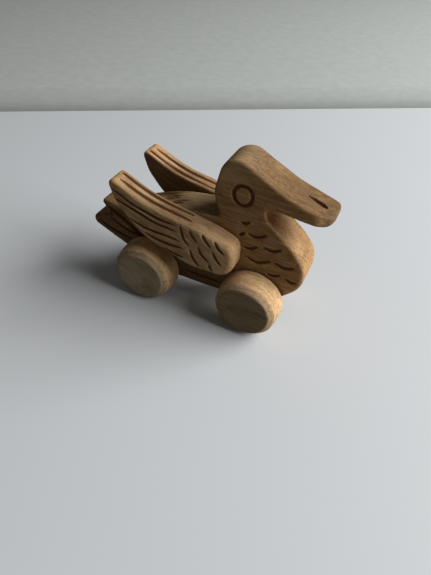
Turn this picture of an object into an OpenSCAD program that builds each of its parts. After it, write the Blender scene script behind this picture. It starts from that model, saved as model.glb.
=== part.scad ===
// Pull along toy: a carved wooden duck on four wheels, in millimetres.
// X points to the beak, Y to the duck's left side and Z up. The wheels stand on Z = 0, and
// the origin lies below the middle of the whole toy.
// The duck is one thick board with a wing board on each side. Outlines are drawn from the
// axles: what belongs to the tail is placed from the rear axle, what belongs to the chest
// from the front axle, and the head from the throat.

/* [Wheels] */
// Largest diameter of a wheel, at the middle of its tread
wheel_d = 35; // [30:1:42]
// Thickness of a wheel
wheel_t = 14.9; // [13:0.1:18]
// Width of the bevel on the outer side of a wheel, measured along the axle
wheel_bevel_w = 2.9; // [1.5:0.1:4]
// Depth of that bevel, measured towards the axle
wheel_bevel_h = 2.8; // [1.5:0.1:4]
// How much lower the edges of the tread are than its middle
wheel_crown = 0.8; // [0:0.1:1.5]
// Bevel on the inner edge of a wheel
wheel_inner_bevel = 1.5; // [0.5:0.1:3]
// Distance between the two axles
wheelbase = 62.3; // [52:0.1:75]

/* [Axles] */
// Diameter of an axle dowel
axle_d = 6; // [5:0.5:8]
// Radial clearance between an axle and its bore in the body
axle_clearance = 0.1; // [0.05:0.01:0.1]
// Depth of the blind hole in a wheel
wheel_hole_depth = 10; // [8:0.5:11]
// Space left between the end of a dowel and the bottom of its hole
hole_end_gap = 0.5; // [0.2:0.1:1]
// Gap between a wheel and the side of the body
wheel_gap = 0.8; // [0.5:0.1:1.5]
// Bevel on the ends of all dowels
dowel_bevel = 0.6; // [0.2:0.1:1]

/* [Body board] */
// Thickness of the body board
body_t = 21.5; // [17:0.5:26]
// Height of an axle above the belly
belly_drop = 5.2; // [4.8:0.1:8]
// Height of the throat above the axles
throat_h = 56.2; // [46:0.1:68]
// Length of the beak, from the throat to the tip
beak_l = 32.6; // [27:0.1:40]
// Rounding of the corners of the beak's tip, seen from above
beak_tip_r = 7; // [3:0.5:8]
// Distance of the tail tip behind the rear axle
tail_l = 38.5; // [32:0.1:47]
// Radius of the ring carved round each eye, at the middle of its groove
eye_r = 4.7; // [4:0.1:6.5]
// Width of the eye groove
eye_groove_w = 1.9; // [0.8:0.1:2]
// Depth of the eye groove
eye_groove_depth = 0.9; // [0.4:0.1:1.5]
// Length of the nostril slit in the top of the beak
nostril_l = 10; // [5:0.5:11]
// Width of the nostril slit
nostril_w = 1.8; // [0.8:0.1:2]
// Depth of the nostril slit
nostril_depth = 1.2; // [0.5:0.1:1.5]

/* [Wings] */
// Thickness of a wing board
wing_t = 12.2; // [10:0.1:15]
// Distance of the wing tip behind the rear axle
wing_tip_l = 17.8; // [14:0.1:21]
// Height of the wing tip above the axles
wing_tip_h = 57.9; // [50:0.1:66]
// Diameter of the dowels that hold the wings
wing_dowel_d = 6; // [5:0.5:8]
// Depth of a wing dowel in each wing
wing_dowel_depth = 8; // [6:0.5:9]

/* [Hidden] */

$fn = 64;
// Largest turn, in degrees, between two points of a rounded corner
arc_step = 6;
// How far a cut runs past the face that it opens
cut = 1;

axle_z = wheel_d / 2;
throat_z = axle_z + throat_h;
wheel_inner_y = body_t / 2 + wheel_gap;
axle_l = 2 * (wheel_inner_y + wheel_hole_depth - hole_end_gap);
wing_hole_depth = wing_dowel_depth + hole_end_gap;
wing_dowel_l = body_t + 2 * wing_dowel_depth;

// Corners of an outline, [x, z, radius], before it is moved to the middle of the toy
function by_rear(x, z, r) = [x, axle_z + z, r];
function by_front(x, z, r) = [wheelbase + x, axle_z + z, r];
function by_throat(x, z, r) = [wheelbase + x, throat_z + z, r];
function by_tail(x, z, r) = [x - tail_l, axle_z + z, r];

body_corners = [
    // Belly and chest
    by_rear(-15, 4.1, 8),
    by_rear(-8, -belly_drop, 6),
    by_front(6, -belly_drop, 20),
    by_front(25.1, 13.9, 15),
    by_front(24.9, 27.4, 15),
    by_front(16.7, 37.1, 30),
    by_throat(2, -7.4, 5),
    // Throat, beak, crown and nape
    by_throat(0, 0, 2.4),
    by_throat(beak_l, -4.4, 2.2),
    by_throat(beak_l + 0.2, 0.5, 2.2),
    by_throat(10.4, 8, 60),
    by_throat(-20.4, 24.7, 9.5),
    by_throat(-26.6, -0.2, 14),
    // Saddle and the two tail feathers
    by_front(-21.6, 43.5, 1.8),
    by_rear(9.9, 40.4, 120),
    by_rear(-14, 29.9, 20),
    by_tail(6.7, 33.7, 1.6),
    by_tail(7.9, 28.5, 1.6),
    by_tail(12.5, 26.1, 0.8),
    by_tail(-0.1, 19.7, 1.8),
    by_tail(0.1, 15.1, 1.8)
];

wing_corners = [
    by_rear(-13.6, 44.3, 12),
    by_rear(-4.5, 33, 25),
    by_rear(5, 25.1, 20),
    by_rear(28, 16.8, 35),
    by_front(-8.9, 15.7, 11),
    by_front(-8.7, 35.4, 7),
    by_front(-24.3, 40.5, 60),
    by_rear(4.2, 47, 60),
    by_rear(-wing_tip_l, wing_tip_h, 2.4)
];

function corner(c, i) = let (p = c[(i + len(c)) % len(c)]) [p[0], p[1]];

// The arc that rounds the corner b between a and c, never longer than its two sides allow
function corner_arc(a, b, c, r) =
    let (
        back = (a - b) / norm(a - b),
        ahead = (c - b) / norm(c - b),
        half = acos(back * ahead) / 2,
        reach = min(r / tan(half), 0.49 * min(norm(a - b), norm(c - b))),
        radius = reach * tan(half),
        centre = b + (back + ahead) / norm(back + ahead) * reach / cos(half),
        first = b + back * reach - centre,
        start = atan2(first[1], first[0]),
        turn = (180 - 2 * half) * sign(cross(b - a, c - b)),
        steps = ceil(abs(turn) / arc_step)
    )
    [for (i = [0 : steps]) let (t = start + turn * i / steps) centre + radius * [cos(t), sin(t)]];

function outline(c) = [
    for (i = [0 : len(c) - 1])
        each corner_arc(corner(c, i - 1), corner(c, i), corner(c, i + 1), c[i][2])
];

function moved(points, x) = [for (p = points) [p[0] + x, p[1]]];

drawn_body = outline(body_corners);
drawn_x = [for (p = drawn_body) p[0]];
rear_x = -(min(drawn_x) + max(drawn_x)) / 2;
front_x = rear_x + wheelbase;
body_outline = moved(drawn_body, rear_x);
wing_outline = moved(outline(wing_corners), rear_x);

// Where the wing dowels lie, [x, z]
wing_dowel_rear_at = [rear_x + 12, axle_z + 31.5];
wing_dowel_front_at = [front_x - 24.3, axle_z + 28.5];
// Middle of the eye, and the middle of the nostril on the top line of the beak
eye_at = [front_x - 10.9, throat_z + 2.8];
nostril_at = [front_x + beak_l - 10.5, throat_z + 3.9];
beak_slope = 17;
// How far outwards the middle of the beak tip's round is moved
beak_tip_lip = 0.3;

// A board sawn to an outline, standing in the XZ plane and centred on Y = 0
module board(points, thickness) {
    rotate([90, 0, 0])
        linear_extrude(thickness, center = true)
            polygon(points);
}

// What is cut off a corner of the beak's tip, seen from above, to round it. The round meets
// the side and the tip at a slight angle, because its middle lies a little outwards.
module beak_corner(side) {
    tip_x = rear_x + max(drawn_x);
    middle = beak_tip_r - beak_tip_lip;
    translate([tip_x - middle, side * (body_t / 2 - middle), throat_z - beak_l])
        difference() {
            translate([0, side > 0 ? 0 : -beak_tip_r - cut, 0])
                cube([beak_tip_r + cut, beak_tip_r + cut, 2 * beak_l]);
            translate([0, 0, -cut])
                cylinder(r = beak_tip_r, h = 2 * (beak_l + cut));
        }
}

// A cylinder along Y with its middle at [x, z]
module cross_hole(at, d, l) {
    translate([at[0], 0, at[1]])
        rotate([90, 0, 0])
            cylinder(d = d, h = l, center = true);
}

// A dowel along Y with bevelled ends
module dowel(at, d, l) {
    translate([at[0], 0, at[1]])
        rotate([90, 0, 0])
            rotate_extrude()
                polygon([
                    [0, -l / 2], [d / 2 - dowel_bevel, -l / 2], [d / 2, dowel_bevel - l / 2],
                    [d / 2, l / 2 - dowel_bevel], [d / 2 - dowel_bevel, l / 2], [0, l / 2]
                ]);
}

module eye_groove(side) {
    translate([eye_at[0], side * body_t / 2, eye_at[1]])
        rotate([side * 90, 0, 0])
            rotate_extrude()
                translate([eye_r - eye_groove_w / 2, -eye_groove_depth])
                    square([eye_groove_w, 2 * eye_groove_depth]);
}

module nostril() {
    translate([nostril_at[0], 0, nostril_at[1]])
        rotate([0, beak_slope, 0])
            cube([nostril_l, nostril_w, 2 * nostril_depth], center = true);
}

module body_board() {
    color("#a87a4e")
        difference() {
            board(body_outline, body_t);
            for (x = [rear_x, front_x])
                cross_hole([x, axle_z], axle_d + 2 * axle_clearance, body_t + 2 * cut);
            for (at = [wing_dowel_rear_at, wing_dowel_front_at])
                cross_hole(at, wing_dowel_d, body_t + 2 * cut);
            for (side = [-1, 1]) {
                eye_groove(side);
                beak_corner(side);
            }
            nostril();
        }
}

// side is -1 on the duck's right and 1 on its left
module wing(side) {
    color("#a27449")
        difference() {
            translate([0, side * (body_t + wing_t) / 2, 0])
                board(wing_outline, wing_t);
            for (at = [wing_dowel_rear_at, wing_dowel_front_at])
                cross_hole(at, wing_dowel_d, body_t + 2 * wing_hole_depth);
        }
}

module wing_right() {
    wing(-1);
}

module wing_left() {
    wing(1);
}

module wing_dowel_rear() {
    color("#c29a6b")
        dowel(wing_dowel_rear_at, wing_dowel_d, wing_dowel_l);
}

module wing_dowel_front() {
    color("#c29a6b")
        dowel(wing_dowel_front_at, wing_dowel_d, wing_dowel_l);
}

module axle_rear() {
    color("#c29a6b")
        dowel([rear_x, axle_z], axle_d, axle_l);
}

module axle_front() {
    color("#c29a6b")
        dowel([front_x, axle_z], axle_d, axle_l);
}

// A turned wheel: a slightly crowned tread, a wide bevel outside, a small one inside, and a
// blind hole in the inner face
module wheel(x, side) {
    r = wheel_d / 2;
    edge_r = r - wheel_crown;
    translate([x, side * wheel_inner_y, axle_z])
        rotate([-side * 90, 0, 0])
            color("#b18d62")
                difference() {
                    rotate_extrude()
                        polygon([
                            [0, 0],
                            [edge_r - wheel_inner_bevel, 0],
                            [edge_r, wheel_inner_bevel],
                            [r, wheel_t / 2],
                            [edge_r, wheel_t - wheel_bevel_w],
                            [edge_r - wheel_bevel_h, wheel_t],
                            [0, wheel_t]
                        ]);
                    translate([0, 0, -cut])
                        cylinder(d = axle_d, h = wheel_hole_depth + cut);
                }
}

module wheel_rear_right() {
    wheel(rear_x, -1);
}

module wheel_rear_left() {
    wheel(rear_x, 1);
}

module wheel_front_right() {
    wheel(front_x, -1);
}

module wheel_front_left() {
    wheel(front_x, 1);
}

body_board();
wing_right();
wing_left();
wing_dowel_rear();
wing_dowel_front();
axle_rear();
axle_front();
wheel_rear_right();
wheel_rear_left();
wheel_front_right();
wheel_front_left();
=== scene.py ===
import math

import bpy
import numpy as np
from mathutils import Matrix, Vector


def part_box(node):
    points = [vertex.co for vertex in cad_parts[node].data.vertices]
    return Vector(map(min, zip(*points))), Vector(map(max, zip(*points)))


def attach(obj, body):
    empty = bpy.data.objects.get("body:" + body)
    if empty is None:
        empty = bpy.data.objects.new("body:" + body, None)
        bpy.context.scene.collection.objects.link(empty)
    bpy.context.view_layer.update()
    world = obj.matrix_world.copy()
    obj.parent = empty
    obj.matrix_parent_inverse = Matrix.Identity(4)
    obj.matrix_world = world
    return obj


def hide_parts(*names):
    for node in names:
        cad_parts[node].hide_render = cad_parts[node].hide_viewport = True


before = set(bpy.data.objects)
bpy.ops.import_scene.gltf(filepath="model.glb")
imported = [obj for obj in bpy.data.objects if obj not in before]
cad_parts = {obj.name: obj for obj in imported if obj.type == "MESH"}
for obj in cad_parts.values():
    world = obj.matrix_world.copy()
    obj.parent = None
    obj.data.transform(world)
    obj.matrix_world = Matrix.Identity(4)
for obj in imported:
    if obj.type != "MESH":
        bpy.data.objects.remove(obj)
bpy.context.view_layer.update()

# Lengths in this script are in millimetres, and turn into metres where a mesh or lamp is made.
MM = 0.001


def box_mm(node):
    """Lowest corner and highest corner of a CAD node, in mm."""
    low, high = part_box(node)
    return np.array(low) / MM, np.array(high) / MM


def middle_mm(node):
    low, high = box_mm(node)
    return (low + high) / 2


REAR_X, _, AXLE_Z = middle_mm("axle_rear")
FRONT_X = middle_mm("axle_front")[0]
AXLE_R = (box_mm("axle_rear")[1] - box_mm("axle_rear")[0])[2] / 2
BODY_LOW, BODY_HIGH = box_mm("body_board")
BODY_HALF = BODY_HIGH[1]
WING_LOW, WING_HIGH = box_mm("wing_left")
WING_HALF = (WING_HIGH[1] - WING_LOW[1]) / 2
WING_MIDDLE = (WING_HIGH[1] + WING_LOW[1]) / 2
BORE_GAP = 0.1


def from_rear(points):
    """Places [x from the rear axle, z above the ground] as [x, z] in the frame."""
    return [(REAR_X + x, z) for x, z in points]


def from_front(points):
    """Places [x from the front axle, z above the axle] as [x, z] in the frame."""
    return [(FRONT_X + x, AXLE_Z + z) for x, z in points]


# ---------------------------------------------------------------- carving in a grid of samples

GRID_STEP = 0.52
# Samples added to a board's box, half of them on each side
GRID_MARGIN = 10
# How far an outline's corners are rounded
CORNER_REACH = 1.4
# A cut this deep below the uncut surface starts to get painted shade, and one this much deeper is
# as dark as they get
CUT_START = 0.1
CUT_FULL = 0.45
# Painted shade on a bore's wall, as a share of the darkest cut
BORE_SHADE = 0.25
# Painted shade on a wing's inner face, as a share of its outer face's tone
INNER_FACE_SHADE = 0.35
# How grey the wood is in the middle of a greyed spot, the body's spots of painted sheen and skylight
# among them
GREY_SHARE = 0.45
# How wide the worn stretch of an edge is, as a share of the edge's radius
EDGE_WEAR = 0.7
# Over how many mm the tone of the rim turns into the tone of the faces
RIM_BLEND = 3
# Where less than this share is rim, a place counts as being on a face
FACE_LIMIT = 0.4
# Outline edges this near to a bore are the bore's own
BORE_MARGIN = 0.6
# Places this near to a bore are on its wall
BORE_WALL = 0.3
# Waves that make up a ripple, and the end of the range their phases are drawn from
RIPPLE_WAVES = 7
PHASE_END = 6.28
# Further than any outline or cut reaches
FAR = 1e9


def outline_of(node, y, bores):
    """The edges ((x, z), (x, z)) where the plane at y cuts a CAD board, its bores left out."""
    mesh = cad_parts[node].data
    mesh.calc_loop_triangles()
    corners = np.array([v.co for v in mesh.vertices]) / MM
    edges = []
    for triangle in mesh.loop_triangles:
        ends = []
        spots = corners[list(triangle.vertices)]
        for a, b in ((0, 1), (1, 2), (2, 0)):
            gap_a, gap_b = spots[a][1] - y, spots[b][1] - y
            if (gap_a > 0) != (gap_b > 0):
                share = gap_a / (gap_a - gap_b)
                ends.append(spots[a][[0, 2]] + share * (spots[b] - spots[a])[[0, 2]])
        if len(ends) == 2 and np.linalg.norm(ends[0] - ends[1]) > 1e-6:
            mid = (ends[0] + ends[1]) / 2
            if all(math.dist(mid, (x, z)) > r + BORE_MARGIN for x, z, r in bores):
                edges.append(ends)
    return edges


def outline_distance(edges, x, z):
    """Signed distance of each place (x, z) from an outline, below zero inside it."""
    nearest = np.full(x.shape, FAR)
    crossings = np.zeros(x.shape, int)
    for a, b in edges:
        ux, uz = b - a
        along = ((x - a[0]) * ux + (z - a[1]) * uz) / (ux * ux + uz * uz)
        along = along.clip(0, 1)
        nearest = np.minimum(nearest, np.hypot(x - a[0] - along * ux, z - a[1] - along * uz))
        spans = (a[1] > z) != (b[1] > z)
        if uz:
            crossings += spans & (x < a[0] + (z - a[1]) * ux / uz)
    return np.where(crossings % 2 == 1, -nearest, nearest)


def softened(distance, reach):
    """The mean of a flat field over a square of that reach: it rounds an outline's corners."""
    count = round(reach / GRID_STEP)
    total = 0
    for shift_x, shift_z in np.ndindex(2 * count + 1, 2 * count + 1):
        total = total + np.roll(distance, (shift_x - count, shift_z - count), axis=(0, 1))
    return total / (2 * count + 1) ** 2


def blended(spots, x, z):
    """A value at each place, blended between the spots (x, z, value) by how near they are."""
    weights = 0
    total = 0
    for spot_x, spot_z, value in spots:
        weight = ((x - spot_x) ** 2 + (z - spot_z) ** 2 + 4) ** -1.5
        weights = weights + weight
        total = total + weight * value
    return total / weights


def smooth_max(a, b, reach):
    """The larger of two fields, with the crease between them rounded."""
    overlap = (reach - np.abs(a - b)).clip(0) / reach
    return np.maximum(a, b) + overlap * overlap * reach / 4


def ripple(x, y, z, size, seed):
    """Smooth unevenness from 0 to 1 with humps about that size apart."""
    random = np.random.default_rng(seed)
    total = 0
    for _ in range(RIPPLE_WAVES):
        way = random.normal(size=3)
        way = way / np.linalg.norm(way) * 2 * math.pi / size
        total = total + np.sin(way[0] * x + way[1] * y + way[2] * z + random.uniform(0, PHASE_END))
    return (0.5 + total / RIPPLE_WAVES).clip(0, 1)


class Board:
    """A board of wood in a grid of samples: the field is below zero inside the wood."""

    def __init__(self, node, slice_y, bores, half, middle, edge_radii):
        low, high = box_mm(node)
        counts = np.ceil((high - low) / GRID_STEP).astype(int) + GRID_MARGIN
        centre = (low + high) / 2
        self.axes = [
            centre[i] + GRID_STEP * (np.arange(counts[i]) - (counts[i] - 1) / 2) for i in range(3)
        ]
        x, z = np.meshgrid(self.axes[0], self.axes[2], indexing="ij")
        outline = outline_of(node, slice_y, bores)
        self.flat = softened(outline_distance(outline, x, z), CORNER_REACH)
        right = blended([(x, z, r) for x, z, r, _ in edge_radii], x, z)
        left = blended([(x, z, r) for x, z, _, r in edge_radii], x, z)
        self.x = self.axes[0][:, None, None]
        self.y = self.axes[1][None, :, None]
        self.z = self.axes[2][None, None, :]
        self.side = np.abs(self.y - middle) - half
        self.middle = middle
        radius = np.where(self.y < middle, right[:, None, :], left[:, None, :])
        a = self.flat[:, None, :] + radius
        b = self.side + radius
        corner = np.hypot(a.clip(0), b.clip(0))
        self.field = corner + np.minimum(np.maximum(a, b), 0) - radius
        self.edge = (np.minimum(a, b) / (EDGE_WEAR * radius)).clip(0, 1)
        self.bores = bores
        rim = 0.5 + (self.flat[:, None, :] - self.side) / RIM_BLEND
        self.rim = rim.clip(0, 1)

    def trim(self, other, reach=0.5):
        """Takes away the wood where the other field is above zero."""
        self.field = smooth_max(self.field, other, reach)

    def ripple(self, depth, size, seed):
        """Takes away up to that depth, unevenly, as a hand with sandpaper does."""
        self.field = self.field + depth * ripple(self.x, self.y, self.z, size, seed)

    def keep_uncut(self):
        """The surface so far is the one whose cuts get painted shade."""
        self.uncut = self.field.copy()

    def drill(self, reach):
        """Bores that run as far as reach on each side of the duck's middle."""
        self.hole_reach = reach + GRID_STEP
        for x, z, r in self.bores:
            hole = np.maximum(np.hypot(self.x - x, self.z - z) - r, np.abs(self.y) - reach)
            self.field = np.maximum(self.field, -hole)

    def groove(self, points, radius, blunt=0.45, fullest=0.5):
        """A cut of a round gouge along 3D points, thin at both ends and full between."""
        path = curve_through(points, GRID_STEP)
        share = np.linspace(0, 1, len(path)) ** (math.log(0.5) / math.log(fullest))
        size = radius * (blunt + (1 - blunt) * np.sin(math.pi * share) ** 0.5)
        reach = radius + 2 * GRID_STEP
        spans = []
        for i in range(3):
            low, high = path[:, i].min() - reach, path[:, i].max() + reach
            first, last = np.searchsorted(self.axes[i], [low, high])
            spans.append(slice(max(first - 1, 0), last + 1))
        x, y, z = (self.axes[i][spans[i]] for i in range(3))
        x, y, z = x[:, None, None], y[None, :, None], z[None, None, :]
        hollow = np.full((x.size, y.size, z.size), -FAR)
        for (px, py, pz), r in zip(path, size):
            gap = np.sqrt((x - px) ** 2 + (y - py) ** 2 + (z - pz) ** 2)
            hollow = np.maximum(hollow, r - gap)
        region = tuple(spans)
        self.field[region] = np.maximum(self.field[region], hollow)

    def side_groove(self, points, side, cut, blunt=0.45):
        """A groove (radius, depth) in a board's side face, which is at side on the Y axis."""
        radius, depth = cut
        y = side + math.copysign(radius - depth, side)
        self.groove([(x, y, z) for x, z in points], radius, blunt)

    def top_groove(self, points, cut, blunt=0.45, fullest=0.5):
        """A groove (radius, depth) in a board's top, along the points (x, y)."""
        radius, depth = cut
        path = [(x, y, self.top_at(x) + radius - depth) for x, y in points]
        self.groove(path, radius, blunt, fullest)

    def top_at(self, x):
        """Height of the board's top at x."""
        column = self.flat[np.abs(self.axes[0] - x).argmin()]
        return self.axes[2][np.nonzero(column < 0)[0][-1]]

    def mesh(self, name, grain, tones_and_shading, stains=(), greys_and_sheen=()):
        """The surface as a smooth mesh object, with its grain, its cuts in painted shade, worn edges,
        and tones that hold painted light and shade as well as the wood's paleness. The tones are spots
        (x, z, tone of the rim, tone of the faces), and the stained and greyed spots are (x, y, z,
        radius)."""
        places, quads = surface_net(self.field, self.axes)
        x, z = places[:, 0], places[:, 2]
        rim = sample(self.rim, self.axes, places)
        rim_tone_and_shading = blended([(sx, sz, t) for sx, sz, t, _ in tones_and_shading], x, z)
        face_tone_and_shading = blended([(sx, sz, t) for sx, sz, _, t in tones_and_shading], x, z)
        # Painted shade on the wing faces that look towards the body
        inner = (np.abs(places[:, 1]) < abs(self.middle)) & (rim < FACE_LIMIT)
        face_tone_and_shading = np.where(inner, INNER_FACE_SHADE * face_tone_and_shading, face_tone_and_shading)
        uncut = sample(self.uncut, self.axes, places)
        edge = sample(self.edge, self.axes, places)
        # How much painted shade each place in a cut or bore gets, more where the cut is deeper
        cut = ((-uncut - CUT_START) / CUT_FULL).clip(0, 1)
        bored = np.zeros(len(places))
        for bore_x, bore_z, r in self.bores:
            near = np.hypot(x - bore_x, z - bore_z) < r + BORE_WALL
            bored = np.maximum(bored, near & (np.abs(places[:, 1]) < self.hole_reach))
        cut = np.where(bored > 0, BORE_SHADE, cut)
        obj = mesh_object(name, places, quads)
        store(obj, "grain", grain_places(places, grain))
        store(obj, "cut", cut)
        store(obj, "edge", edge)
        # The tone holds painted light and shade as well as the wood's own paleness
        store(obj, "tone", rim * rim_tone_and_shading + (1 - rim) * face_tone_and_shading)
        store(obj, "end", across_grain(obj, grain))
        store(obj, "stain", nearness(places, stains))
        # Greyed wood, and on the body painted sheen and skylight
        store(obj, "grey", GREY_SHARE * nearness(places, greys_and_sheen))
        return obj


def nearness(places, spots):
    """How near each place is to one of the spots (x, y, z, radius), from 0 to 1."""
    near = np.zeros(len(places))
    for spot in spots:
        gap = np.linalg.norm(places - np.array(spot[:3]), axis=1)
        near = np.maximum(near, np.exp(-(gap / spot[3]) ** 2))
    return near


def curve_through(points, step):
    """Places about a step apart on a smooth curve through the points."""
    points = np.array(points, float)
    ends = np.vstack([2 * points[0] - points[1], points, 2 * points[-1] - points[-2]])
    path = []
    for a, b, c, d in zip(ends, ends[1:], ends[2:], ends[3:]):
        count = max(2, math.ceil(np.linalg.norm(c - b) / step))
        for t in np.arange(count) / count:
            path.append(
                b
                + t * (c - a) / 2
                + t * t * (a - 2.5 * b + 2 * c - d / 2)
                + t * t * t * (3 * b - 3 * c + d - a) / 2
            )
    path.append(points[-1])
    return np.array(path)


def sample(values, axes, places):
    """The grid's value at each place, by straight blending between its samples."""
    index = [(places[:, i] - axes[i][0]) / GRID_STEP for i in range(3)]
    first = [np.floor(index[i]).astype(int).clip(0, values.shape[i] - 2) for i in range(3)]
    share = [index[i] - first[i] for i in range(3)]
    total = 0
    for corner in np.ndindex(2, 2, 2):
        weight = 1
        for i in range(3):
            weight = weight * (share[i] if corner[i] else 1 - share[i])
        spot = tuple(first[i] + corner[i] for i in range(3))
        total = total + weight * values[spot]
    return total


def surface_net(field, axes):
    """Places and four-sided faces of the surface where the field is zero."""
    solid = field < 0
    cells = tuple(n - 1 for n in field.shape)
    inside = np.zeros(cells, int)
    for dx, dy, dz in np.ndindex(2, 2, 2):
        inside += solid[dx:dx + cells[0], dy:dy + cells[1], dz:dz + cells[2]]
    found = np.argwhere((inside > 0) & (inside < 8))
    number = np.full(cells, -1)
    number[tuple(found.T)] = np.arange(len(found))
    total = np.zeros((len(found), 3))
    count = np.zeros(len(found))
    for axis in range(3):
        step = np.eye(3, dtype=int)[axis]
        others = [i for i in range(3) if i != axis]
        for u, v in np.ndindex(2, 2):
            start = found.copy()
            start[:, others[0]] += u
            start[:, others[1]] += v
            a = field[tuple(start.T)]
            b = field[tuple((start + step).T)]
            crossed = (a < 0) != (b < 0)
            share = np.where(crossed, a / np.where(crossed, a - b, 1), 0)
            total += np.where(crossed[:, None], start + share[:, None] * step, 0)
            count += crossed
    index = total / count[:, None]
    origin = np.array([a[0] for a in axes])
    places = origin + index * GRID_STEP
    quads = []
    for axis in range(3):
        step = np.eye(3, dtype=int)[axis]
        u, v = np.eye(3, dtype=int)[(axis + 1) % 3], np.eye(3, dtype=int)[(axis + 2) % 3]
        inner = tuple(slice(0 if i == axis else 1, n - 1) for i, n in enumerate(field.shape))
        ahead = tuple(slice(1, None if i == axis else n - 1)
                      for i, n in enumerate(field.shape))
        crossed = solid[inner] != solid[ahead]
        start = np.argwhere(crossed) + np.array([s.start for s in inner])
        ring = [number[tuple((start - a).T)] for a in (u + v, v, 0 * u, u)]
        face = np.stack(ring, axis=1)
        outward = solid[tuple(start.T)]
        face[~outward] = face[~outward][:, ::-1]
        quads.append(face)
    return places, np.concatenate(quads)


def mesh_object(name, places, faces):
    """A smooth-shaded object from places in mm and rows of corner numbers."""
    mesh = bpy.data.meshes.new(name)
    sides = len(faces[0])
    mesh.vertices.add(len(places))
    mesh.vertices.foreach_set("co", (np.asarray(places) * MM).astype(np.float32).ravel())
    mesh.loops.add(len(faces) * sides)
    mesh.loops.foreach_set("vertex_index", np.asarray(faces, np.int32).ravel())
    mesh.polygons.add(len(faces))
    mesh.polygons.foreach_set("loop_start", np.arange(len(faces), dtype=np.int32) * sides)
    mesh.update(calc_edges=True)
    mesh.polygons.foreach_set("use_smooth", np.ones(len(faces), bool))
    mesh.update()
    obj = bpy.data.objects.new(name, mesh)
    bpy.context.scene.collection.objects.link(obj)
    return obj


def store(obj, name, values):
    """Keeps a number or a place for each vertex, for the materials to read."""
    values = np.asarray(values, np.float32)
    kind = "FLOAT_VECTOR" if values.ndim == 2 else "FLOAT"
    layer = obj.data.attributes.new(name, kind, "POINT")
    layer.data.foreach_set("vector" if values.ndim == 2 else "value", values.ravel())


def grain_places(places, grain):
    """Places in mm as seen from the tree: x runs along its trunk, whose heart is at y = z = 0."""
    turn, heart = grain
    return np.asarray(places) @ np.array(turn.to_3x3()) + np.array(heart)


def across_grain(obj, grain):
    """How squarely the surface cuts the fibres at each vertex, from 0 to 1."""
    normals = np.zeros(len(obj.data.vertices) * 3)
    obj.data.vertices.foreach_get("normal", normals)
    turned = normals.reshape(-1, 3) @ np.array(grain[0].to_3x3())
    return np.abs(turned[:, 0])


def grain_turn(about_y=0, about_z=0):
    """How a board lay in the tree, by turns in degrees."""
    total = Matrix.Identity(4)
    for degrees, axis in ((about_y, "Y"), (about_z, "Z")):
        total = total @ Matrix.Rotation(math.radians(degrees), 4, axis)
    return total


# ---------------------------------------------------------------- the duck's body board

DOWEL_R = (box_mm("wing_dowel_rear")[1] - box_mm("wing_dowel_rear")[0])[2] / 2
BODY_BORES = [
    (REAR_X, AXLE_Z, AXLE_R + BORE_GAP),
    (FRONT_X, AXLE_Z, AXLE_R + BORE_GAP),
    (*middle_mm("wing_dowel_rear")[[0, 2]], DOWEL_R),
    (*middle_mm("wing_dowel_front")[[0, 2]], DOWEL_R),
]
WING_BORES = BODY_BORES[2:]
DOWEL_END = box_mm("wing_dowel_rear")[1][1]

# How far the edges of the body are rounded, [x from the front axle, z above it, radius on the
# right, radius on the left]
BODY_EDGES = [
    (-20, 74, 1.3, 4.8), (-29, 66, 1.1, 3.6), (-32, 58, 1.2, 3), (-26, 46, 1.4, 2),
    (-8, 72, 1.8, 4.2), (8, 65, 2.1, 3.2), (24, 60, 2, 2.6), (32, 57, 1.9, 2.6),
    (24, 52, 1.1, 2.6),
    (16, 53, 1.1, 3),
    (2, 56, 1, 2), (6, 48, 1.1, 2.6), (14, 42, 1.5, 3), (20, 32, 2, 3), (24, 18, 2.4, 3),
    (16, 2, 2, 2), (0, -5, 1.8, 1.8), (-30, -5, 1.6, 1.6), (-70, 0, 1.6, 1.6),
    (-84, 12, 1.4, 1.4), (-100, 17, 1.4, 1.4), (-94, 31, 1.4, 1.4), (-78, 31, 1.6, 1.6),
    (-60, 39, 2.4, 2.6), (-40, 42, 2.4, 2.8), (-45, 20, 2, 2),
]
# Length of the beak's round on its right side, and radius of the one on its left
BEAK_TIP_L = 11.5
BEAK_FAR_R = 4.2
# Below this height above the front axle the beak's round doesn't reach
BEAK_LOW = 47
# How wide the crease is smoothed where the beak's round meets its top and underside
BEAK_CREASE = 1.6
# How quickly the beak's round is let go behind its tip
BEAK_RELEASE = 0.3
# How deep the sanding takes the surface down, and how far apart its humps are
BODY_RIPPLE = 0.1
BODY_HUMPS = 17
# Where on the Y axis the CAD body is cut for its outline, clear of its carving
BODY_SLICE = 2.0
# How the body board lay in the tree, and where the tree's heart was
BODY_GRAIN = (grain_turn(about_y=3, about_z=2), (0, 84, 9))

# How pale the wood is, with painted light and shade in it: [x from the front axle, z above it, tone of
# the rim, tone of the sides]
# Painted shade darkens the sides low under the wing and the chest's top below the beak; painted light
# brightens the chest's front low down and the beak's sides at its tip
BODY_TONES_AND_SHADING = [
    (-20, 74, 0.9, 1.05), (-31, 60, 0.85, 1.0), (-6, 70, 0.64, 1.0), (8, 64, 0.58, 1.0),
    (16, 60, 0.55, 1.0), (32, 54, 0.47, 2.0), (16, 52, 0.9, 1.0), (1, 55, 1.1, 1.05),
    (6, 48, 0.62, 1.05), (18, 35, 0.95, 1.05), (24, 20, 1.4, 1.0), (16, 2, 1.8, 1.1),
    (0, -5, 0.9, 0.9),
    (-30, -5, 0.6, 0.45), (-70, 0, 0.7, 0.6), (-100, 17, 0.75, 0.65), (-78, 31, 0.75, 0.7),
    (-50, 40, 0.95, 0.7),
]

# Dark end grain in the throat: x from the front axle, y, z above the axle, radius
THROAT_STAIN = [(4.5, -4, 52, 7)]
# Painted sheen on the crown and painted skylight on the saddle, greying the wood, in the same way
PAINTED_SHEEN_SPOTS = [(-17, 0, 75, 13), (-40, 0, 42, 17)]

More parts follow.
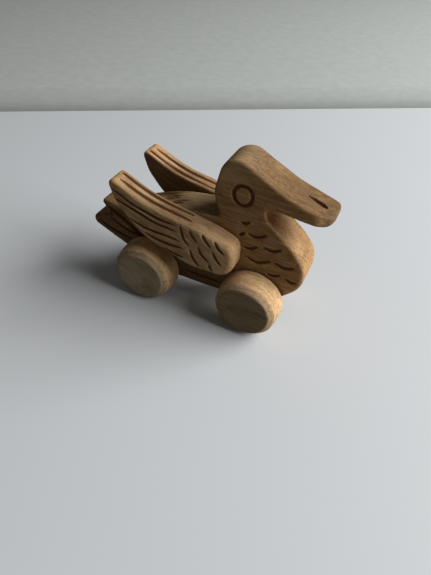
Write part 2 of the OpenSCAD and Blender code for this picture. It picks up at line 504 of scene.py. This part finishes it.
# Scales on the chest, [x from the front axle, z above it], the same on both sides
CHEST_SCALES = [
    [(-11, 44.5), (-8.7, 44), (-6.2, 45.7)],
    [(-11.3, 36.3), (-10, 37.3), (-8.3, 38.7)],
    [(-6.8, 39), (-2.2, 38), (3.2, 40.8)],
    [(-8.6, 30), (-4.5, 30), (-0.7, 32.6)],
    [(1.9, 33.3), (6.8, 32.5), (11.7, 35)],
    [(-6.5, 24.6), (0, 22.8), (7.1, 26.1)],
    [(8.7, 26.1), (14.3, 24.4), (19.8, 26.5)],
    [(6, 17.5), (9.3, 17.3), (12.9, 19)],
    [(15.8, 18.1), (18.8, 16.5), (21.8, 17.2)],
]
# Grooves on the tail's sides, [x from the rear axle, z above the ground]
TAIL_GROOVES = [
    [(-35.5, 35.5), (-29, 32.3), (-21, 30), (-13, 28.2)],
    [(-27, 40), (-24, 38), (-17.4, 34.5), (-9.7, 33), (-2, 31.5)],
    [(-36.8, 37), (-34, 39.8), (-31, 41.8)],
    [(-33.7, 39.6), (-30.5, 40.8), (-27.5, 41.2)],
    [(-28.5, 46), (-26.5, 43.5), (-25.3, 40.4)],
]
FEATHER_GAP = [(-32, 47.5), (-24.5, 44.7), (-15.2, 39.3), (-9, 34.8), (-3, 31)]
BELLY_GROOVE = [(18, 18.8), (32, 18.3), (46, 18.2)]
# Strokes on top of the rump, [x, y] from the rear axle
RUMP_STROKES = [
    [(-4, 7), (3, 6.6), (10, 7)], [(-1, 4.2), (5, 4.4), (12, 3.4)],
    [(3, 1.8), (7, 2.3), (11, 1.4)], [(0, -1.4), (5, 0.2), (10, -0.2)],
    [(9, -3), (14, -1.4), (20, -1)], [(4, -5), (10, -4.2), (16, -3.8)],
    [(-14, -4), (-9, -3), (-3, -3.4)], [(-15, 1), (-10, 1.6), (-4, 1)],
    [(-14, 6), (-9, 5.4), (-4, 4.6)], [(-8, -7.4), (-3, -6.8), (4, -7.2)],
]
EYE_R = 4.75
EYE_AT = (FRONT_X - 10.9, AXLE_Z + 59)
# The eye's height as a share of its width, and how uneven its ring is
EYE_TALL = 1.1
EYE_WOBBLE = 0.03
# One slit along the middle of the beak's top, as [x, y]
NOSTRIL = [(FRONT_X + 17.2, 0.4), (FRONT_X + 21.9, -0.1), (FRONT_X + 26.6, -0.6)]

# Radius of the gouge and depth of its cut
CHEST_CUT = (1.05, 1.0)
TAIL_CUT = (1.1, 1.05)
GAP_CUT = (1.5, 1.4)
BELLY_CUT = (1, 0.9)
RUMP_CUT = (0.8, 0.6)
EYE_CUT = (1.15, 0.95)
NOSTRIL_CUT = (1.5, 1.6)


def beak_plan(board):
    """The beak seen from above: a long round on its right side and a short one on its left."""
    tip = BODY_HIGH[0]
    x, y, z = board.x, board.y, board.z
    ahead = ((x - tip + BEAK_TIP_L) / BEAK_TIP_L).clip(0)
    right = (np.hypot(ahead, y.clip(None, 0) / BODY_HALF) - 1) * BODY_HALF
    near_tip = (x - tip + BEAK_FAR_R).clip(0)
    near_side = (y - BODY_HALF + BEAK_FAR_R).clip(0)
    left = np.hypot(near_tip, near_side) - BEAK_FAR_R
    behind = BEAK_RELEASE * (tip - BEAK_TIP_L - x).clip(0)
    below = (AXLE_Z + BEAK_LOW - z).clip(0)
    return np.where(y < 0, right, left) - behind - below


def make_body():
    board = Board("body_board", BODY_SLICE, BODY_BORES, BODY_HALF, 0,
                  [(FRONT_X + x, AXLE_Z + z, *radii) for x, z, *radii in BODY_EDGES])
    board.trim(beak_plan(board), BEAK_CREASE)
    board.ripple(BODY_RIPPLE, BODY_HUMPS, seed=4)
    board.keep_uncut()
    board.drill(2 * BODY_HALF)
    for side in (-BODY_HALF, BODY_HALF):
        for scale in CHEST_SCALES:
            board.side_groove(from_front(scale), side, CHEST_CUT)
        for line in TAIL_GROOVES:
            board.side_groove(from_rear(line), side, TAIL_CUT)
        board.side_groove(from_rear(FEATHER_GAP), side, GAP_CUT)
        board.side_groove(from_rear(BELLY_GROOVE), side, BELLY_CUT)
        cut_eye(board, side)
    for stroke in RUMP_STROKES:
        board.top_groove([(REAR_X + x, y) for x, y in stroke], RUMP_CUT)
    board.top_groove(NOSTRIL, NOSTRIL_CUT, blunt=0.3, fullest=0.68)
    tones_and_shading = [(FRONT_X + x, AXLE_Z + z, *pair) for x, z, *pair in BODY_TONES_AND_SHADING]
    stains, greys_and_sheen = (
        [(FRONT_X + x, y, AXLE_Z + z, radius) for x, y, z, radius in spots]
        for spots in (THROAT_STAIN, PAINTED_SHEEN_SPOTS))
    return board.mesh("body_carved", BODY_GRAIN, tones_and_shading, stains, greys_and_sheen)


def cut_eye(board, side):
    """A ring, a little uneven, round a flat pupil."""
    ring = []
    for turn in np.radians(np.arange(0, 361, 30)):
        r = EYE_R * (1 + EYE_WOBBLE * math.sin(3 * turn))
        ring.append((EYE_AT[0] + r * math.cos(turn), EYE_AT[1] + EYE_TALL * r * math.sin(turn)))
    board.side_groove(ring, side, EYE_CUT, blunt=0.95)


# ---------------------------------------------------------------- the wings

# [x from the rear axle, z above the ground, radius of the inner edge, radius of the outer one]
WING_EDGES = [
    (-16, 73, 1.1, 1.3), (-10, 60, 1.1, 1.3), (5, 44, 1.4, 1.6), (30, 34, 1.5, 1.8),
    (45, 34, 2, 2.4), (53, 42, 2.4, 3), (52, 52, 2.6, 3.2), (38, 58, 2, 2.6),
    (15, 62, 1.5, 1.9), (0, 66, 1.4, 1.7), (20, 50, 2, 2),
]
# How pale the wood is, with painted light brightening the outer faces and the tip: [x from the rear axle,
# z above the ground, tone of the rim, of the sides]
WING_TONES_AND_SHADING = [
    (-16, 73, 1.4, 1.4), (0, 63, 1.1, 1.5), (25, 58, 1.15, 1.55), (50, 50, 1.45, 1.55),
    (40, 33, 0.95, 1.5), (10, 42, 0.85, 1.5),
]
# Greyed wood on the outer face, [x from the rear axle, z above the ground, radius]
WING_GREYED = [(0, 58, 18), (36, 48, 22)]
# Grooves and feathers on the outer face, [x from the rear axle, z above the ground]
WING_LINES = [
    [(-15, 68.1), (-9.4, 65.7), (-3.8, 62.7), (4.8, 60), (13.4, 58), (22.4, 57.3)],
    [(-13.9, 63.2), (-7, 60.5), (1.7, 57.8), (10.3, 55.1), (23.5, 53.7)],
    [(-5.9, 53.5), (1.1, 50.8), (7, 49.6), (15.9, 49.2), (24.6, 48.4)],
    [(3.2, 47), (9.8, 45.1), (17.5, 44.2), (26.2, 44.5)],
    [(9.5, 40.7), (15.5, 40.2), (20.3, 39.3), (26.2, 38.5)],
]
WING_FEATHERS = [
    [(24.1, 58.5), (26, 51), (29.1, 46.9)],
    [(29.4, 57.3), (30.8, 54.1), (33.6, 51)],
    [(35.7, 57.7), (38, 53.9), (41.4, 49.8)],
    [(42.8, 55.3), (45.2, 51.2), (48.8, 48.4)],
    [(29.7, 45.4), (31.4, 40.2), (35, 35.4)],
    [(34.2, 49), (36, 44.5), (40.6, 40.4)],
    [(42, 48.7), (43.8, 44.9), (47.3, 41)],
    [(40.6, 39.7), (41.3, 37.2), (42.5, 35.7)],
]
# Grooves along the top edge: how far from the body's middle, and from where to where along X
WING_TOP_LINES = [(13.6, -13.5, 27), (18.3, -11.5, 29)]
# Radius of the gouge and depth of its cut
WING_LINE_CUT = (1.05, 1.0)
WING_FEATHER_CUT = (1.0, 0.95)
WING_TOP_CUT = (1.25, 1.05)
WING_RIPPLE = 0.12
WING_HUMPS = 15


def make_wing(name, node, side, heart):
    board = Board(node, side * WING_MIDDLE, WING_BORES, WING_HALF, side * WING_MIDDLE,
                  [(REAR_X + x, z, *radii[::side]) for x, z, *radii in WING_EDGES])
    board.ripple(WING_RIPPLE, WING_HUMPS, seed=11 + side)
    board.keep_uncut()
    board.drill(DOWEL_END)
    face = side * WING_HIGH[1]
    for line in WING_LINES:
        board.side_groove(from_rear(line), face, WING_LINE_CUT)
    for line in WING_FEATHERS:
        board.side_groove(from_rear(line), face, WING_FEATHER_CUT)
    for y, start, end in WING_TOP_LINES:
        points = [(x, side * y) for x in np.linspace(REAR_X + start, REAR_X + end, 8)]
        board.top_groove(points, WING_TOP_CUT)
    tones_and_shading = [(REAR_X + x, z, *pair) for x, z, *pair in WING_TONES_AND_SHADING]
    greys_and_sheen = [(REAR_X + x, face, z, radius) for x, z, radius in WING_GREYED]
    grain = (grain_turn(about_y=22, about_z=2 * side), heart)
    return board.mesh(name, grain, tones_and_shading, greys_and_sheen=greys_and_sheen)


# ---------------------------------------------------------------- the wheels

# Rows of faces round a wheel
WHEEL_TURNS = 120
# The wide outer bevel, along the axle and across it
BEVEL_W = 2.9
BEVEL_H = 2.8
# How much smaller the tread's radius is at the bevel than at its widest
CROWN = 0.7
INNER_BEVEL = 0.6
HOLE_DEPTH = 10
# Radius of a wheel's edges
ROUNDING = 0.35
# The outer face is a little lower than its rim inside this radius
DISH_R = 7
DISH_DEPTH = 0.15
WHEEL_RIPPLE = 0.08
WHEEL_HUMPS = 9
# How pale the tread is, with painted light on it, and how grey it is
TREAD_TONE_AND_LIGHT = 1.32
TREAD_GREY = 0.1
# Places this near to a wheel's outer or inner face, along the axle, count as on it
FACE_REACH = 0.5
# The tread is left smooth this far out from the inner face
SMOOTH_W = 1
# Half the width of the worn stretch on the bevel, and how worn it is
WORN_HALF = 2
WORN_SHARE = 0.5
# How far the tread's tone runs up the bevel, along the axle
TONE_LAP = 0.3
# How grey the bevel is, as a share of the face's grey
BEVEL_GREY = 0.5
# Longest stretch of a wheel's profile that is one row of faces
PROFILE_STEP = 1.2


def rounded(points, radius, count=5):
    """The open line through the points, with its corners rounded."""
    line = [points[0]]
    for a, b, c in zip(points, points[1:], points[2:]):
        a, b, c = np.array(a), np.array(b), np.array(c)
        back, ahead = a - b, c - b
        reach = min(radius, 0.45 * np.linalg.norm(back), 0.45 * np.linalg.norm(ahead))
        start = b + back / np.linalg.norm(back) * reach
        end = b + ahead / np.linalg.norm(ahead) * reach
        for t in np.linspace(0, 1, count):
            line.append((1 - t) ** 2 * start + 2 * t * (1 - t) * b + t * t * end)
    line.append(points[-1])
    return np.array(line, float)


def make_wheel(name, node, grain, face_tone_and_shading, bevel_tone_and_shading, face_grey, seed):
    """A turned wheel: crowned tread, wide outer bevel, and a blind hole for the axle."""
    low, high = box_mm(node)
    side = 1 if high[1] > 0 else -1
    width = high[1] - low[1]
    r = (high[2] - low[2]) / 2
    edge_r = r - CROWN
    profile = rounded([
        (0, HOLE_DEPTH), (AXLE_R, HOLE_DEPTH), (AXLE_R, 0), (r - INNER_BEVEL, 0),
        (r, INNER_BEVEL), (r, width / 2), (edge_r, width - BEVEL_W),
        (edge_r - BEVEL_H, width), (DISH_R, width - DISH_DEPTH), (0, width - DISH_DEPTH),
    ], ROUNDING)
    profile = refined(profile, PROFILE_STEP)
    turns = np.arange(WHEEL_TURNS) * 2 * math.pi / WHEEL_TURNS
    radius, across = profile[:, 0][:, None], profile[:, 1][:, None]
    x = radius * np.cos(turns)
    z = radius * np.sin(turns)
    y = across + 0 * turns
    uneven = WHEEL_RIPPLE * ripple(x, y, z, WHEEL_HUMPS, seed)
    hole = radius <= AXLE_R + 0.01
    shrink = 1 - np.where(hole | (across < SMOOTH_W), 0, uneven) / r
    x = x * shrink
    z = z * shrink
    y = y - np.where(across > width - FACE_REACH, uneven, 0)
    inner_y = low[1] if side > 0 else high[1]
    centre = middle_mm(node)
    places = np.stack([centre[0] + x, inner_y + side * y, centre[2] + z], axis=2)
    local = np.stack([x, y, z], axis=2).reshape(-1, 3)
    on_bevel = across > width - BEVEL_W - FACE_REACH
    edge = on_bevel * (np.abs(radius - edge_r + BEVEL_H / 2) < WORN_HALF)
    rows = len(profile)
    start = np.arange(rows - 1)[:, None] * WHEEL_TURNS
    here = np.arange(WHEEL_TURNS)[None, :]
    after = (here + 1) % WHEEL_TURNS
    faces = np.stack([
        start + here, start + after, start + WHEEL_TURNS + after, start + WHEEL_TURNS + here
    ], axis=2).reshape(-1, 4)
    if side < 0:
        faces = faces[:, ::-1]
    obj = mesh_object(name, places.reshape(-1, 3), faces)
    store(obj, "grain", grain_places(local, grain))
    store(obj, "cut", np.zeros(len(local)))
    store(obj, "edge", np.repeat(WORN_SHARE * edge.ravel(), WHEEL_TURNS))
    flank = (across > width - FACE_REACH) | (across < FACE_REACH)
    bevel = across > width - BEVEL_W + TONE_LAP
    # Painted light on the tread and painted shade on the faces, through their tones
    tone = np.where(flank, face_tone_and_shading, np.where(bevel, bevel_tone_and_shading, TREAD_TONE_AND_LIGHT))
    store(obj, "tone", np.repeat(tone.ravel(), WHEEL_TURNS))
    store(obj, "end", across_grain(obj, grain))
    greyed_bevel = across > width - BEVEL_W
    bevel_grey = BEVEL_GREY * face_grey
    grey = np.where(flank, face_grey, np.where(greyed_bevel, bevel_grey, TREAD_GREY))
    store(obj, "grey", np.repeat(grey.ravel(), WHEEL_TURNS))
    return obj


def refined(line, step):
    """The same line with points at most a step apart."""
    places = [line[0]]
    for a, b in zip(line, line[1:]):
        count = max(1, math.ceil(np.linalg.norm(b - a) / step))
        for i in range(1, count + 1):
            places.append(a + (b - a) * i / count)
    return np.array(places)


# ---------------------------------------------------------------- materials


def link(tree, source, target):
    tree.links.new(source, target)


def node(tree, kind, **settings):
    made = tree.nodes.new(kind)
    for name, value in settings.items():
        setattr(made, name, value)
    return made


def feed(tree, socket, value):
    """Links a socket to another one, or sets a plain value on it."""
    if isinstance(value, bpy.types.NodeSocket):
        tree.links.new(value, socket)
    else:
        socket.default_value = value


def maths(tree, operation, a, b=0.0, clamp=False):
    made = node(tree, "ShaderNodeMath", operation=operation, use_clamp=clamp)
    for socket, value in zip(made.inputs, (a, b)):
        feed(tree, socket, value)
    return made.outputs[0]


def scaled(tree, vector, by):
    made = node(tree, "ShaderNodeVectorMath", operation="MULTIPLY")
    feed(tree, made.inputs[0], vector)
    made.inputs[1].default_value = by
    return made.outputs[0]


def noise(tree, vector, scale, detail=3.0, roughness=0.55):
    made = node(tree, "ShaderNodeTexNoise")
    feed(tree, made.inputs["Vector"], vector)
    made.inputs["Scale"].default_value = scale
    made.inputs["Detail"].default_value = detail
    made.inputs["Roughness"].default_value = roughness
    return made.outputs["Fac"]


def between(tree, value, low, high, to_low=0.0, to_high=1.0):
    made = node(tree, "ShaderNodeMapRange", interpolation_type="SMOOTHSTEP")
    for socket, given in zip(made.inputs, (value, low, high, to_low, to_high)):
        feed(tree, socket, given)
    return made.outputs[0]


def mixed(tree, share, a, b, blend="MIX"):
    made = node(tree, "ShaderNodeMix", data_type="RGBA", blend_type=blend)
    feed(tree, made.inputs[0], share)
    for socket, value in ((made.inputs[6], a), (made.inputs[7], b)):
        feed(tree, socket, value if isinstance(value, bpy.types.NodeSocket) else (*value, 1))
    return made.outputs[2]


def new_material(name):
    material = bpy.data.materials.new(name)
    material.use_nodes = True
    tree = material.node_tree
    tree.nodes.clear()
    shader = node(tree, "ShaderNodeBsdfPrincipled")
    output = node(tree, "ShaderNodeOutputMaterial")
    tree.links.new(shader.outputs[0], output.inputs["Surface"])
    return material, tree, shader


def attribute(tree, name):
    return node(tree, "ShaderNodeAttribute", attribute_name=name)


# The wood's patterns: scale along the grain and across it both ways, detail and roughness
WARP = ((0.012, 0.05, 0.05), 2.0, 0.55)
FIBRE = ((0.05, 1.3, 1.3), 3.0, 0.6)
STREAK = ((0.05, 1.3, 0.14), 3.0, 0.6)
BLOTCH = ((0.035, 0.07, 0.07), 2.0, 0.5)
PORE = ((0.35, 1.1, 0.7), 3.0, 0.7)
# How far the rings wander, in mm
RING_WARP = 9.0
# Shares of the wood's pale and dark colours that its lightest blotches, its pores and the painted shade
# in its cuts have
LIGHTER = 1.22
PORE_DARK = 0.6
CUT_SHADE = (0.42, 0.27, 0.17)
# How much of the light blotches, the pale worn edges and the painted shade in the cuts shows at most
BLOTCH_MOST = 0.5
WORN_MOST = 0.18
CUT_SHADE_MOST = 0.88
# How the fibres and pores stand out: strength, and height in mm
BUMP_STRENGTH = 0.6
BUMP_HEIGHT = 0.3
OILED_SHINE = 0.15
# What stained end grain leaves of the wood's own colour
STAIN = (1.35, 0.85, 0.25)
# How greyed wood, and the painted sheen and skylight on the body, differ from the wood's own colour
GREY = (1.0, 1.3, 1.75)


def pattern(tree, spot, kind):
    """One of the wood's patterns, at places in mm as seen from the tree."""
    scale, detail, roughness = kind
    return noise(tree, scaled(tree, spot, scale), 1.0, detail, roughness)


def wood(name, pale, dark, ring_gap=2.3, ring_share=0.3, made_by_hand=True, along="X"):
    """Oiled hardwood: year rings, fibres, pores, blotches, painted shade in the cuts, and end grain."""
    material, tree, shader = new_material(name)
    if made_by_hand:
        spot = attribute(tree, "grain").outputs["Vector"]
    else:
        turned = node(tree, "ShaderNodeMapping")
        link(tree, node(tree, "ShaderNodeTexCoord").outputs["Object"], turned.inputs["Vector"])
        turned.inputs["Scale"].default_value = (1 / MM, 1 / MM, 1 / MM)
        turned.inputs["Rotation"].default_value = (0, 0, math.radians(90 if along == "Y" else 0))
        turned.inputs["Location"].default_value = (0, 2, -20)
        spot = turned.outputs["Vector"]
    parts = node(tree, "ShaderNodeSeparateXYZ")
    link(tree, spot, parts.inputs[0])
    across = maths(tree, "SQRT", maths(
        tree, "ADD", maths(tree, "POWER", parts.outputs[1], 2.0),
        maths(tree, "POWER", parts.outputs[2], 2.0)))
    warp = pattern(tree, spot, WARP)
    across = maths(tree, "ADD", across, maths(tree, "MULTIPLY", warp, RING_WARP))
    phase = maths(tree, "FRACT", maths(tree, "DIVIDE", across, ring_gap))
    late = maths(tree, "MULTIPLY", between(tree, phase, 0.35, 0.9),
                 between(tree, phase, 1.0, 0.9))
    fibre = pattern(tree, spot, FIBRE)
    streak = pattern(tree, spot, STREAK)
    blotch = pattern(tree, spot, BLOTCH)
    pore = pattern(tree, spot, PORE)
    pores = between(tree, pore, 0.54, 0.68)

    colour = mixed(tree, maths(tree, "MULTIPLY", late, ring_share), pale, dark)
    colour = mixed(tree, between(tree, fibre, 0.35, 0.65, 0.0, 0.7), colour, dark)
    colour = mixed(tree, between(tree, streak, 0.42, 0.72, 0.0, 0.7), colour, dark)
    light = tuple(min(1, c * LIGHTER) for c in pale)
    colour = mixed(tree, between(tree, blotch, 0.5, 0.7, 0.0, BLOTCH_MOST), colour, light)
    pore_share = 0.4
    if made_by_hand:
        end = attribute(tree, "end").outputs["Fac"]
        pore_share = between(tree, end, 0.3, 0.9, 0.45, 0.95)
    colour = mixed(tree, maths(tree, "MULTIPLY", pores, pore_share), colour,
                   tuple(c * PORE_DARK for c in dark))
    rough = between(tree, fibre, 0.2, 0.8, 0.64, 0.8)
    height = maths(tree, "MULTIPLY", fibre, 0.5)
    height = maths(tree, "SUBTRACT", height, maths(tree, "MULTIPLY", pores, 0.5))
    if made_by_hand:
        tone = attribute(tree, "tone").outputs["Fac"]
        colour = mixed(tree, 1.0, colour, tone, "MULTIPLY")
        stain = maths(tree, "MULTIPLY", attribute(tree, "stain").outputs["Fac"],
                      between(tree, pore, 0.35, 0.6, 0.5, 1.0))
        colour = mixed(tree, stain, colour, mixed(tree, 1.0, colour, STAIN, "MULTIPLY"))
        grey = attribute(tree, "grey").outputs["Fac"]
        colour = mixed(tree, grey, colour, mixed(tree, 1.0, colour, GREY, "MULTIPLY"))
        cut = attribute(tree, "cut").outputs["Fac"]
        edge = attribute(tree, "edge").outputs["Fac"]
        # Painted shade in the cuts and bores
        cut_shade_colour = tuple(c * k for c, k in zip(dark, CUT_SHADE))
        colour = mixed(tree, between(tree, edge, 0.2, 1.0, 0.0, WORN_MOST), colour, light)
        colour = mixed(tree, between(tree, cut, 0.15, 1.0, 0.0, CUT_SHADE_MOST), colour, cut_shade_colour)
    link(tree, colour, shader.inputs["Base Color"])
    link(tree, rough, shader.inputs["Roughness"])
    bump = node(tree, "ShaderNodeBump")
    bump.inputs["Strength"].default_value = BUMP_STRENGTH
    bump.inputs["Distance"].default_value = BUMP_HEIGHT * MM
    link(tree, height, bump.inputs["Height"])
    link(tree, bump.outputs[0], shader.inputs["Normal"])
    shader.inputs["Specular IOR Level"].default_value = OILED_SHINE
    return material


# How much light the table and the wall throw onto the toy, and how warm that light is
THROWN = 0.3
THROWN_TINT = (1, 0.93, 0.8)


def painted(name, colour, second, speck, shaded=False):
    """A plain pale surface with a faint unevenness of colour, for the table and the wall, and on the wall
    painted shadow near the table's edge.
    It throws back only a share of its light onto the toy, as a table in a dim room does."""
    material, tree, shader = new_material(name)
    spot = node(tree, "ShaderNodeTexCoord").outputs["Object"]
    share = noise(tree, spot, speck, 3.0)
    path = node(tree, "ShaderNodeLightPath")
    seen = maths(tree, "ADD", path.outputs["Is Camera Ray"], path.outputs["Is Glossy Ray"],
                 clamp=True)
    own = mixed(tree, share, colour, second)
    if shaded:
        # Painted shadow on the wall near the table's edge
        own = mixed(tree, 1.0, own, attribute(tree, "shade").outputs["Fac"], "MULTIPLY")
    dim = mixed(tree, 1.0, own, tuple(THROWN * c for c in THROWN_TINT), "MULTIPLY")
    link(tree, mixed(tree, seen, dim, own), shader.inputs["Base Color"])
    shader.inputs["Roughness"].default_value = 0.55
    shader.inputs["Specular IOR Level"].default_value = 0.25
    return material


def wear(obj, material, body=None):
    """Gives an object its material and slot, and the body it rides on if it isn't a CAD node."""
    obj.data.materials.clear()
    obj.data.materials.append(material)
    if body:
        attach(obj, body)


BODY_WOOD = wood("body_wood", (0.47, 0.287, 0.135), (0.235, 0.122, 0.048))
WING_WOOD = wood("wing_wood", (0.45, 0.272, 0.133), (0.225, 0.117, 0.048))
WHEEL_WOOD = wood("wheel_wood", (0.63, 0.41, 0.216), (0.33, 0.19, 0.085), ring_gap=1.9)
DOWEL_WOOD = wood("dowel_wood", (0.47, 0.3, 0.16), (0.3, 0.16, 0.07),
                  ring_gap=1.4, made_by_hand=False, along="Y")

# ---------------------------------------------------------------- putting the toy together

body = make_body()
wear(body, BODY_WOOD, "duck")
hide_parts("body_board")

for wing_name, wing_side, wing_heart in (
    ("right", -1, (0, 90, -12)), ("left", 1, (0, -96, 14)),
):
    wing = make_wing(f"wing_{wing_name}_carved", f"wing_{wing_name}", wing_side, wing_heart)
    wear(wing, WING_WOOD, "duck")
    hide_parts(f"wing_{wing_name}")

# Each wheel's place, turn of its grain in degrees, heart of its tree, how pale its outer face
# and bevel are, with painted shade on the faces, darkest on the front right one, and painted light on
# that wheel's bevel, and how grey the face is
WHEELS = [
    ("rear_right", 25, (0, 16, -6), 0.9, 0.85, 1.0),
    ("rear_left", -40, (4, 18, 9), 0.7, 0.9, 0.5),
    ("front_right", 6, (0, 17, 3), 0.56, 1.1, 0.6),
    ("front_left", 65, (0, 14, -12), 0.65, 0.9, 0.5),
]
for count, (place, degrees, heart, *looks) in enumerate(WHEELS):
    grain = (grain_turn(about_y=degrees), heart)
    wheel = make_wheel(f"wheel_{place}_turned", f"wheel_{place}", grain, *looks, seed=20 + count)
    wear(wheel, WHEEL_WOOD, place.split("_")[0] + "_wheelset")
    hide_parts(f"wheel_{place}")

for rod in ("axle_rear", "axle_front", "wing_dowel_rear", "wing_dowel_front"):
    wear(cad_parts[rod], DOWEL_WOOD)

# ---------------------------------------------------------------- table, wall, light and camera

# Two places on the table's far edge, [x, y] in the frame
EDGE_LEFT = np.array([-268, 142])
EDGE_RIGHT = np.array([65, 346])
# How far the table and the wall run on, past what the camera sees
REACH = 3000
# How far below the table's top the wall's sheet lies
WALL_DROP = 2


def flat_sheet(name, corners, z, material):
    places = [(x, y, z) for x, y in corners]
    sheet = mesh_object(name, places, [[0, 1, 2, 3]])
    sheet.data.materials.append(material)


# Painted shadow on the wall near the table's edge: mm beyond the edge, share of its own colour
WALL_SHADE = [(0, 0.5), (10, 0.62), (30, 0.85), (70, 1.0), (REACH, 1.0)]


def make_wall(left, right, beyond, material):
    places = [(*(corner + far * beyond), -WALL_DROP) for far, _ in WALL_SHADE for corner in (left, right)]
    faces = [[2 * i, 2 * i + 1, 2 * i + 3, 2 * i + 2] for i in range(len(WALL_SHADE) - 1)]
    wall = mesh_object("wall", places, faces)
    store(wall, "shade", [share for _, share in WALL_SHADE for _ in (left, right)])
    wall.data.materials.append(material)


def make_stage():
    way = (EDGE_RIGHT - EDGE_LEFT) / np.linalg.norm(EDGE_RIGHT - EDGE_LEFT)
    beyond = np.array([-way[1], way[0]])
    middle = (EDGE_LEFT + EDGE_RIGHT) / 2
    left, right = middle - REACH * way, middle + REACH * way
    table = painted("table_paint", (0.65, 0.69, 0.73), (0.68, 0.715, 0.755), 6.0)
    wall = painted("wall_paint", (0.47, 0.51, 0.5), (0.6, 0.635, 0.625), 90.0, shaded=True)
    flat_sheet("table_top", [left - REACH * beyond, right - REACH * beyond, right, left], 0, table)
    make_wall(left, right, beyond, wall)


def aimed(place, target, roll=0.0):
    """Where something stands that looks from place to target, both in mm."""
    look = (Vector(target) - Vector(place)).to_track_quat("-Z", "Y").to_matrix().to_4x4()
    return Matrix.Translation(Vector(place) * MM) @ look @ Matrix.Rotation(roll, 4, "Z")


def lamp(name, place, target, size, watts, colour):
    light = bpy.data.lights.new(name, "AREA")
    light.shape = "RECTANGLE"
    light.size, light.size_y = size[0] * MM, size[1] * MM
    light.energy = watts
    light.color = colour
    obj = bpy.data.objects.new(name, light)
    obj.matrix_world = aimed(place, target)
    bpy.context.scene.collection.objects.link(obj)


# The window's place, what it faces, its size, its power and its colour
WINDOW = ((1190, 440, 840), (0, 0, 30), (1600, 1200), 40, (1.0, 0.985, 0.96))
# The dim light of the room from all sides
ROOM_COLOUR = (1.0, 0.96, 0.89, 1)
ROOM_STRENGTH = 0.072


def make_light():
    lamp("window", *WINDOW)
    world = bpy.data.worlds.new("room")
    bpy.context.scene.world = world
    world.use_nodes = True
    world.node_tree.nodes["Background"].inputs[0].default_value = ROOM_COLOUR
    world.node_tree.nodes["Background"].inputs[1].default_value = ROOM_STRENGTH


# The camera looks down on the toy's right side, from a little ahead of its middle
CAMERA_TARGET = (13.9, -15.8, 18.5)
CAMERA_AZIMUTH = 22.7
CAMERA_ELEVATION = 43.1
CAMERA_ROLL = 3.1
CAMERA_DISTANCE = 257.9
CAMERA_LENS = 29.43


def make_camera():
    a, e = math.radians(CAMERA_AZIMUTH), math.radians(CAMERA_ELEVATION)
    back = Vector((math.sin(a) * math.cos(e), -math.cos(a) * math.cos(e), math.sin(e)))
    place = Vector(CAMERA_TARGET) + back * CAMERA_DISTANCE
    data = bpy.data.cameras.new("camera")
    data.sensor_width = 36
    data.lens = CAMERA_LENS
    data.clip_start = 0.01
    camera = bpy.data.objects.new("camera", data)
    camera.matrix_world = aimed(place, CAMERA_TARGET, math.radians(CAMERA_ROLL))
    bpy.context.scene.collection.objects.link(camera)
    bpy.context.scene.camera = camera


make_stage()
make_light()
make_camera()
bpy.context.scene.view_settings.view_transform = "Standard"
